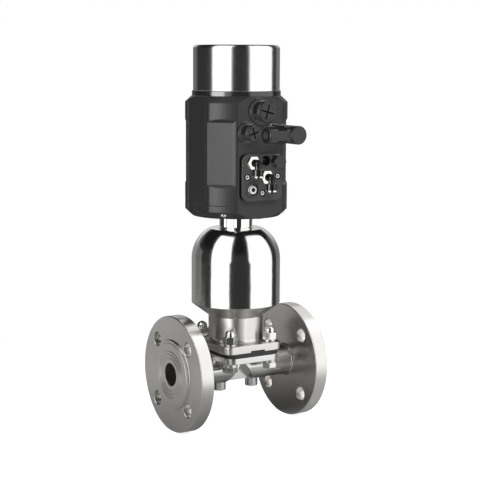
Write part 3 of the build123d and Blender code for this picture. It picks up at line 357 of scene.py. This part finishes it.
def axis_rings(tree, axis, pitch):
    """Fine lines round the spindle or the pipe, as a turned or polished piece has."""
    place = tree.new("SeparateXYZ", {0: tree.new("TexCoord").outputs["Object"]})
    x, y, z = (place.outputs[i] for i in range(3))
    if axis == "spindle":
        across, along, other = tree.math("SUBTRACT", x, spindle_x), z, y
    else:
        across, along, other = z, x, y
    squares = tree.math("ADD", tree.math("MULTIPLY", across, across), tree.math("MULTIPLY", other, other))
    radius = tree.math("SQRT", squares)
    lines = tree.new("CombineXYZ", {0: radius, 1: along, 2: 0.0})
    noise = tree.new("TexNoise", {"Vector": lines.outputs[0], "Scale": 1 / pitch, "Detail": line_detail,
                                  "Roughness": line_roughness})
    return noise.outputs["Fac"]


def cloud(tree, size, detail=cloud_detail):
    place = tree.new("TexCoord").outputs["Object"]
    noise = tree.new("TexNoise", {"Vector": place, "Scale": 1 / size, "Detail": detail,
                                  "Roughness": cloud_roughness})
    return noise.outputs["Fac"]


def spread(tree, factor, low, high):
    """The middle of a noise stretched from low to high."""
    node = tree.new("MapRange", {0: factor, 1: 0.3, 2: 0.7, 3: low, 4: high})
    return node.outputs[0]


def shade(colour, share):
    return (*(min(1, c * share) for c in colour), 1)


def finish(name, colour, metallic, roughness, drift=0.06, patch=9 * mm, grain=None, relief=0.0,
           edge=0.25 * mm, lines=None, line_pitch=0.25 * mm, anisotropic=0.0, tangent="Z", coat=0.0,
           rough_drift=0.15, specular=0.5, wave=0.0, wave_patch=9 * mm):
    material = bpy.data.materials.new(name)
    tree = Tree(material)
    patches = cloud(tree, patch)
    tone = tree.mix(patches, shade(colour, 1 - drift), shade(colour, 1 + drift))
    texture = axis_rings(tree, lines, line_pitch) if lines else cloud(tree, grain or fine_grain, 2.0)
    if lines:
        tone = tree.mix(spread(tree, texture, 0, 0.5), tone, shade(colour, 1 - 2 * drift))
    rough = spread(tree, texture, roughness * (1 - rough_drift), roughness * (1 + rough_drift))
    eased = tree.new("Bevel", {"Radius": edge}, samples=4)
    swell = tree.new("Bump", {"Height": cloud(tree, wave_patch, 1.0), "Strength": 1.0, "Distance": wave,
                              "Normal": eased.outputs[0]})
    bump = tree.new("Bump", {"Height": texture, "Strength": 1.0, "Distance": relief,
                             "Normal": swell.outputs[0]})
    inputs = {
        "Base Color": tone,
        "Metallic": metallic,
        "Roughness": rough,
        "Normal": bump.outputs[0],
        "Coat Weight": coat,
        "Specular IOR Level": specular,
        "Anisotropic": anisotropic,
    }
    if anisotropic:
        inputs["Anisotropic Rotation"] = across_lines
        inputs["Tangent"] = tree.new("Tangent", direction_type="RADIAL", axis=tangent).outputs[0]
    shader = tree.new("BsdfPrincipled", inputs)
    tree.new("OutputMaterial", {"Surface": shader.outputs[0]})
    return material


warm = (0.68, 0.665, 0.64)
plain = (0.66, 0.655, 0.645)
black = (0.018, 0.018, 0.0185)
finishes = {
    "flange_steel": finish("flange_steel", warm, 1, 0.30, drift=0.10, patch=5 * mm, lines="pipe",
                           relief=0.008 * mm, line_pitch=0.4 * mm, anisotropic=0.4, tangent="X",
                           wave=0.05 * mm, wave_patch=14 * mm),
    "body_steel": finish("body_steel", plain, 1, 0.24, grain=0.5 * mm, relief=0.005 * mm),
    "bolt_steel": finish("bolt_steel", (0.72, 0.715, 0.70), 1, 0.14, relief=0.002 * mm),
    "polished_steel": finish("polished_steel", (0.80, 0.795, 0.78), 1, 0.07, drift=0.02, lines="spindle",
                             relief=0.0004 * mm),
    "cover_steel": finish("cover_steel", (0.80, 0.795, 0.78), 1, 0.17, drift=0.02, lines="spindle",
                          relief=0.0004 * mm, wave=0.03 * mm),
    "shell_steel": finish("shell_steel", (0.80, 0.79, 0.775), 1, 0.12, drift=0.02, lines="spindle",
                          relief=0.0004 * mm, wave=0.06 * mm),
    "neck_steel": finish("neck_steel", (0.80, 0.795, 0.78), 1, 0.04, drift=0.02, lines="spindle",
                         relief=0.0002 * mm),
    "bonnet_steel": finish("bonnet_steel", (0.68, 0.665, 0.645), 1, 0.34, lines="spindle", relief=0.004 * mm,
                           anisotropic=0.6),
    "collar_plastic": finish("collar_plastic", (0.010, 0.010, 0.010), 0, 0.16, relief=0.002 * mm,
                             specular=0.8),
    "spindle_steel": finish("spindle_steel", (0.75, 0.75, 0.74), 1, 0.10, lines="spindle",
                            relief=0.0005 * mm),
    "spring_steel": finish("spring_steel", (0.45, 0.45, 0.46), 1, 0.35, relief=0.003 * mm),
    "cast_aluminium": finish("cast_aluminium", (0.68, 0.68, 0.70), 1, 0.40, relief=0.01 * mm),
    "bush_brass": finish("bush_brass", (0.72, 0.50, 0.24), 1, 0.30, relief=0.004 * mm),
    "fitting_nickel": finish("fitting_nickel", (0.80, 0.77, 0.71), 1, 0.14, relief=0.002 * mm),
    "diaphragm_rubber": finish("diaphragm_rubber", (0.018, 0.018, 0.018), 0, 0.62, relief=0.01 * mm),
    "seal_rubber": finish("seal_rubber", (0.02, 0.02, 0.02), 0, 0.5, relief=0.006 * mm),
    "head_plastic": finish("head_plastic", black, 0, 0.38, grain=0.35 * mm, relief=0.012 * mm, edge=0.4 * mm,
                           specular=0.27),
    "plate_plastic": finish("plate_plastic", (0.024, 0.024, 0.0245), 0, 0.36, relief=0.006 * mm,
                            specular=0.35),
    "fitting_plastic": finish("fitting_plastic", (0.011, 0.011, 0.0115), 0, 0.22, grain=0.5 * mm,
                              relief=0.002 * mm, specular=0.42),
    "elbow_plastic": finish("elbow_plastic", (0.004, 0.004, 0.004), 0, 0.18, relief=0.001 * mm,
                            specular=0.15),
    # Near-black material for painted shade
    "painted_shade_plastic": finish("painted_shade_plastic", (0.002, 0.002, 0.002), 0, 0.6, relief=0.001 * mm,
                            specular=0.05),
    "panel_plastic": finish("panel_plastic", (0.10, 0.105, 0.115), 0, 0.45, relief=0.01 * mm),
    "key_plastic": finish("key_plastic", (0.50, 0.51, 0.54), 0, 0.35, relief=0.004 * mm),
    "board_green": finish("board_green", (0.02, 0.10, 0.045), 0, 0.30, relief=0.006 * mm, coat=0.4),
}


def ring_with_painted_light(name, places, inner, outer, middle, patch=1.5 * mm, drift=0.15):
    """A painted highlight ring round each of the fronts at these places, pale and not metallic, with painted
    shade in the middle and around it.
    """
    material = bpy.data.materials.new(name)
    tree = Tree(material)
    place = tree.new("SeparateXYZ", {0: tree.new("TexCoord").outputs["Object"]})
    nearest = 1.0
    for x, z in places:
        aside = tree.math("SUBTRACT", place.outputs[0], x)
        upward = tree.math("SUBTRACT", place.outputs[2], z)
        squares = tree.math("ADD", tree.math("MULTIPLY", aside, aside),
                            tree.math("MULTIPLY", upward, upward))
        nearest = tree.math("MINIMUM", nearest, tree.math("SQRT", squares))
    # Near-black painted shade for the middle and surround, a pale painted highlight for the ring
    painted_shade_colour, pale = (0.006, 0.006, 0.006), (0.55, 0.55, 0.55)
    painted_core_shade = tree.mix(tree.math("LESS_THAN", nearest, inner), shade(painted_shade_colour, 1), shade(painted_shade_colour, middle))
    painted_ring_highlight = tree.mix(cloud(tree, patch), shade(pale, 1 - drift), shade(pale, 1 + drift))
    past_core, within = tree.math("GREATER_THAN", nearest, inner), tree.math("LESS_THAN", nearest, outer)
    ring = tree.math("MULTIPLY", past_core, within)
    shader = tree.new("BsdfPrincipled", {"Base Color": tree.mix(ring, painted_core_shade, painted_ring_highlight), "Roughness": 0.35,
                                         "Specular IOR Level": 0.3})
    tree.new("OutputMaterial", {"Surface": shader.outputs[0]})
    return material


# The exhaust ring and the port plate's three screws get a painted highlight ring with painted shade in the
# socket and around it, with the screws' places in millimetres
ring_low, ring_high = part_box("port_ring")
ring_middle = (ring_low + ring_high) / 2
ring_inner_r, ring_outer_r, ring_core = 2.2 * mm, 4.1 * mm, 3
screw_left, screw_right, screw_middle, upper_screws, lower_screw = 56.8, 91.2, 74.0, 195.2, 179.4
screw_places = [(screw_left, upper_screws), (screw_right, upper_screws), (screw_middle, lower_screw)]
screw_places = [(x * mm, z * mm) for x, z in screw_places]
socket_r, screw_r, socket_core = 1.15 * mm, 2.0 * mm, 0.5
port_places = [(ring_middle.x, ring_middle.z)]
finishes["port_ring_painted_light"] = ring_with_painted_light("port_ring_painted_light", port_places, ring_inner_r, ring_outer_r, ring_core)
finishes["screw_painted_light"] = ring_with_painted_light("screw_painted_light", screw_places, socket_r, screw_r, socket_core)

# Every CAD solid takes the finish of its slot
slot_of = {part["node"]: part["material_slot"] for part in frame["record"]["subparts"]}
for name, slot_name in slot_of.items():
    for slot in cad[name].material_slots:
        slot.material = finishes[slot_name]


# Turned pieces: a profile of (along, radius) points in millimetres with rounded corners, spun round an axis
def rounded(points, radii, steps=5):
    path = [Vector(points[0])]
    for before, corner, after, radius in zip(points, points[1:], points[2:], radii):
        before, corner, after = Vector(before), Vector(corner), Vector(after)
        reach_in = min(radius, (before - corner).length / 2)
        reach_out = min(radius, (after - corner).length / 2)
        start = corner + (before - corner).normalized() * reach_in
        end = corner + (after - corner).normalized() * reach_out
        if radius == 0:
            path.append(corner)
            continue
        for step in range(steps + 1):
            t = step / steps
            path.append(start * (1 - t) ** 2 + corner * 2 * t * (1 - t) + end * t ** 2)
    return path + [Vector(points[-1])]


def lathe(path, origin, axis, segments=256):
    work = bmesh.new()
    axis = Vector(axis)
    first = axis.orthogonal().normalized()
    second = axis.cross(first)
    rings = []
    for along, radius in path:
        centre = Vector(origin) + axis * along * mm
        ring = []
        for i in range(segments):
            turn = 2 * pi * i / segments
            ring.append(work.verts.new(centre + (first * cos(turn) + second * sin(turn)) * radius * mm))
        rings.append(ring)
    for low, high in zip(rings, rings[1:] + rings[:1]):
        for i in range(segments):
            after = (i + 1) % segments
            work.faces.new((low[i], low[after], high[after], high[i]))
    bmesh.ops.recalc_face_normals(work, faces=work.faces)
    return work


def as_object(work, name):
    mesh = bpy.data.meshes.new(name)
    work.to_mesh(mesh)
    work.free()
    thing = bpy.data.objects.new(name, mesh)
    bpy.context.scene.collection.objects.link(thing)
    return thing


def cut(work, cutters):
    body = as_object(work, "blank")
    tools = [as_object(cutter, "cutter") for cutter in cutters]
    for tool in tools:
        bore = body.modifiers.new("bore", "BOOLEAN")
        bore.operation, bore.solver, bore.object = "DIFFERENCE", "EXACT", tool
    graph = bpy.context.evaluated_depsgraph_get()
    done = bpy.data.meshes.new_from_object(body.evaluated_get(graph))
    result = bmesh.new()
    result.from_mesh(done)
    for thing in tools + [body]:
        bpy.data.objects.remove(thing)
    bpy.data.meshes.remove(done)
    return result


# Rigid pieces with their sharp edges broken, as machined and moulded edges are
sharp_angle, flat_angle, weld_distance = radians(38), radians(0.05), 1e-6


def make_piece(name, work, replaced, material):
    mesh = bpy.data.meshes.new(name)
    work.to_mesh(mesh)
    work.free()
    for layer in ("custom_normal", "sharp_face"):
        if layer in mesh.attributes:
            mesh.attributes.remove(mesh.attributes[layer])
    mesh.shade_smooth()
    mesh.set_sharp_from_angle(angle=sharp_angle)
    mesh.materials.clear()
    mesh.materials.append(material)
    for face in mesh.polygons:
        face.material_index = 0
    piece = bpy.data.objects.new(name, mesh)
    bpy.context.scene.collection.objects.link(piece)
    piece.modifiers.new("even faces", "WEIGHTED_NORMAL").keep_sharp = True
    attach(piece, cad[replaced]["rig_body"])
    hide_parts(replaced)
    return piece


def edged(node, width, material, angle=28, segments=3):
    work = bmesh.new()
    work.from_mesh(cad[node].data)
    bmesh.ops.remove_doubles(work, verts=work.verts, dist=weld_distance)
    bmesh.ops.dissolve_limit(work, angle_limit=flat_angle, verts=work.verts, edges=work.edges)
    sharp = [edge for edge in work.edges if edge.calc_face_angle(0) > radians(angle)]
    bmesh.ops.bevel(work, geom=sharp, offset=width, segments=segments, profile=0.5, affect="EDGES")
    return make_piece(node + "_edged", work, node, material)


# The width in millimetres that each piece's edges are broken by
edge_widths = {
    "valve_body": 0.35, "bonnet": 0.4, "bonnet_bolts": 0.25, "acorn_nuts": 0.25, "bolt_washers": 0.25,
    "adapter_neck": 0.3, "cover": 0.25, "head_base": 0.4, "head_housing": 0.5, "collar": 0.4,
    "manifold_plate": 0.35, "manifold_gasket": 0.1, "manifold_screws": 0.15, "base_screws": 0.2,
    "side_screw": 0.2, "fitting_studs": 0.2, "inlet_elbow": 0.3, "outlet_elbow": 0.3, "inlet_band": 0.12,
    "outlet_band": 0.12, "inlet_collet": 0.15, "outlet_collet": 0.15, "port_plug": 0.3, "port_ring": 0.15,
    "large_gland": 0.3, "small_gland": 0.3, "gland_plugs": 0.2, "connector_socket": 0.2, "union_nut": 0.2,
    "connector_body": 0.25, "clamp_nut": 0.25,
}
# The port plate's gasket takes the near-black painted shade all over
own_finish = {
    "cover": "cover_steel", "collar": "collar_plastic", "adapter_neck": "neck_steel",
    "bonnet": "bonnet_steel", "manifold_screws": "screw_painted_light", "manifold_plate": "plate_plastic",
    "manifold_gasket": "painted_shade_plastic", "inlet_elbow": "elbow_plastic", "outlet_elbow": "elbow_plastic",
    "port_ring": "port_ring_painted_light",
}
for name, width in edge_widths.items():
    piece = edged(name, width * mm, material=finishes[own_finish.get(name, slot_of[name])])
    if slot_of[name] in ("head_plastic", "fitting_plastic"):
        moulded.objects.link(piece)
    if name in ("inlet_elbow", "outlet_elbow"):
        elbows.objects.link(piece)

# Painted shade: the sides of the port plate and the floors of the slots get a near-black material
plate_side, plug_side, slot_floor = -0.3, -0.8, 0.6 * mm


def paint_shade(name, turned_away, depth=1.0):
    """Paints shade, as a near-black material, on the faces that don't look forward enough, and on those
    deeper than depth behind the front.
    """
    piece = bpy.data.objects[name + "_edged"]
    piece.data.materials.append(finishes["painted_shade_plastic"])
    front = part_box(name)[0].y
    for face in piece.data.polygons:
        if face.normal.y > turned_away or face.center.y > front + depth:
            face.material_index = 1


paint_shade("manifold_plate", plate_side)
paint_shade("gland_plugs", plug_side, depth=slot_floor)
necked.objects.link(bpy.data.objects["adapter_neck_edged"])
cast.objects.link(bpy.data.objects["bonnet_edged"])

# Flanges: turned faces with fine rings, a stepped raised face, and bolt holes with broken edges
face_to_face = 150
flange_r, raised_r, bore_r, flange_depth, raised_height = 57.5, 34.0, 11.3, 16.0, 2.0
hole_r, hole_circle_r, hole_flare, flare_depth, cut_past = 7.0, 42.5, 1.2, 0.6, 1.0
step_r, step_depth, step_slope = 31.2, 0.35, 0.3
ring_places, ring_depth, ring_width, ring_bottom, ring_rise = (17.0, 20.5, 23.8), 0.40, 1.5, 0.2, 0.3
corner_r, foot_corner_r, small_corner_r, axis_gap = 1.0, 1.1, 0.15, 0.01
rim_band, hole_band, flat_face = 1.2, 1.5, 0.9


def flange_piece(node, origin, inwards):
    """One flange, from a profile of (along, radius, corner radius) points."""
    corners = [(flange_depth, bore_r, 0.0), (0.0, bore_r, 0.4)]
    for place in ring_places:
        corners.append((0.0, place - ring_width, 0.3))
        corners.append((ring_depth, place - ring_bottom * ring_width, 0.2))
        corners.append((0.0, place + ring_rise * ring_width, 0.1))
    corners += [
        (0.0, step_r - step_slope, small_corner_r), (step_depth, step_r, small_corner_r),
        (step_depth, raised_r, 0.3), (raised_height, raised_r, foot_corner_r),
        (raised_height, flange_r, corner_r), (flange_depth, flange_r, corner_r), (flange_depth, bore_r, 0.0),
    ]
    path = rounded([(a, r) for a, r, _ in corners], [radius for _, _, radius in corners[1:-1]])
    work = lathe(path[:-1], origin, inwards)
    cutters = []
    for quarter in range(4):
        turn = pi / 4 + quarter * pi / 2
        sideways = Vector((0, cos(turn), sin(turn))) * hole_circle_r * mm
        start, end, wide = raised_height - cut_past, flange_depth + cut_past, hole_r + hole_flare
        flare = [(start, axis_gap), (start, wide), (raised_height + flare_depth, hole_r),
                 (flange_depth - flare_depth, hole_r), (end, wide), (end, axis_gap)]
        hole = rounded(flare, (0.0, 0.4, 0.4, 0.0), 3)
        cutters.append(lathe(hole, Vector(origin) + sideways, inwards, 64))
    piece = make_piece(node + "_turned", cut(work, cutters), node, finishes["flange_steel"])
    wall = finish(node + "_edge", warm, 1, 0.26, lines="pipe", relief=0.004 * mm)
    piece.data.materials.append(wall)
    centre = Vector(origin)
    for face in piece.data.polygons:
        out = face.center - centre
        radius = Vector((0, out.y, out.z)).length / mm
        near_rim, near_hole = radius > flange_r - rim_band, abs(radius - hole_circle_r) < hole_r + hole_band
        if abs(face.normal.x) < flat_face and (near_rim or near_hole):
            face.material_index = 1
    return piece


rimmed.objects.link(flange_piece("inlet_flange", (0, 0, 0), (1, 0, 0)))
rimmed.objects.link(flange_piece("outlet_flange", (face_to_face * mm, 0, 0), (-1, 0, 0)))

# Weld beads where the pipe meets the flanges
pipe_r, bead_r, bead_sink, bead_offset, bead_steps = 15.0, 1.1, 0.5, 0.4, 12


def bead_piece(node, along, inwards):
    path = []
    for step in range(bead_steps):
        turn = 2 * pi * step / bead_steps
        path.append(Vector((bead_r * sin(turn), pipe_r + bead_r * (1 - cos(turn)) - bead_sink)))
    work = lathe(path, (along * mm, 0, 0), inwards, 128)
    for face in work.faces:
        face.smooth = True
    piece = as_object(work, node + "_bead")
    piece.data.materials.append(finishes["bolt_steel"])
    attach(piece, cad[node]["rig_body"])
    return piece


bead_piece("inlet_flange", flange_depth + bead_offset, (1, 0, 0))
bead_piece("outlet_flange", face_to_face - flange_depth - bead_offset, (-1, 0, 0))

# Actuator shell: its dome is a little fuller than an arc and meets the flat crown at a crease
shell_r, skirt_low, dome_low, crown_r, crown_high = 44.1, shell_low.z / mm, 110.0, 26.4, 140.4
dome_centre_r, dome_steps, crown_hole_r = 12.1, 40, 10.5
shell_wall, crown_wall, crown_lip, skirt_lip, skirt_edge = 2.4, 3.5, 2.0, 3.0, 0.35
crease, crease_rise = 0.3, 0.12


def shell_piece():
    half_width = shell_r - dome_centre_r
    crown_share = (crown_r - dome_centre_r) / half_width
    half_height = (crown_high - dome_low) / sqrt(1 - crown_share ** 2)
    last_turn = acos(crown_share)
    turns = [last_turn * step / dome_steps for step in range(dome_steps + 1)]
    crown_top, crown_under = crown_high + crease_rise, crown_high - crown_wall
    path = [(skirt_low + skirt_lip, shell_r - shell_wall), (skirt_low, shell_r - shell_wall),
            (skirt_low, shell_r - skirt_edge), (skirt_low + skirt_edge, shell_r)]
    path += [(dome_low + half_height * sin(turn), dome_centre_r + half_width * cos(turn)) for turn in turns]
    path += [(crown_top, crown_r - crease), (crown_top, crown_hole_r), (crown_under, crown_hole_r),
             (crown_under, crown_r - crown_lip)]
    inner_height, inner_width = half_height - shell_wall, half_width - shell_wall
    for turn in reversed(turns):
        path.append((dome_low + inner_height * sin(turn), dome_centre_r + inner_width * cos(turn)))
    work = lathe(path, (spindle_x, 0, 0), (0, 0, 1), 360)
    return make_piece("actuator_shell_spun", work, "actuator_shell", finishes["shell_steel"])


domed.objects.link(shell_piece())

# Diaphragm: a copy with broken edges, taken off its rigid body and left where it is
dish_low, rim_low, rim_edge = 6.5 * mm, 16.5 * mm, 0.4 * mm
rubber = edged("diaphragm", rim_edge, finishes["diaphragm_rubber"])
rubber.parent = None
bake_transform(rubber)

# Closing springs, which the piston presses against the spring plate as it rises: a copy of their mesh on the
# valve's rigid body
coils = bpy.data.objects.new("closing_springs_wound", cad["closing_springs"].data.copy())
bpy.context.scene.collection.objects.link(coils)
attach(coils, "valve")
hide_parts("closing_springs")
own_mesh(coils)

# Metal below the head mirrors the studio as if the head were not above it, as the photograph shows
head_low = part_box("head_base")[0].z
for thing in bpy.data.objects:
    if thing.type == "MESH" and thing.data.vertices:
        lowest = min(vertex.co.z for vertex in thing.data.vertices)
        if lowest > head_low - mm:
            thing.visible_glossy = False
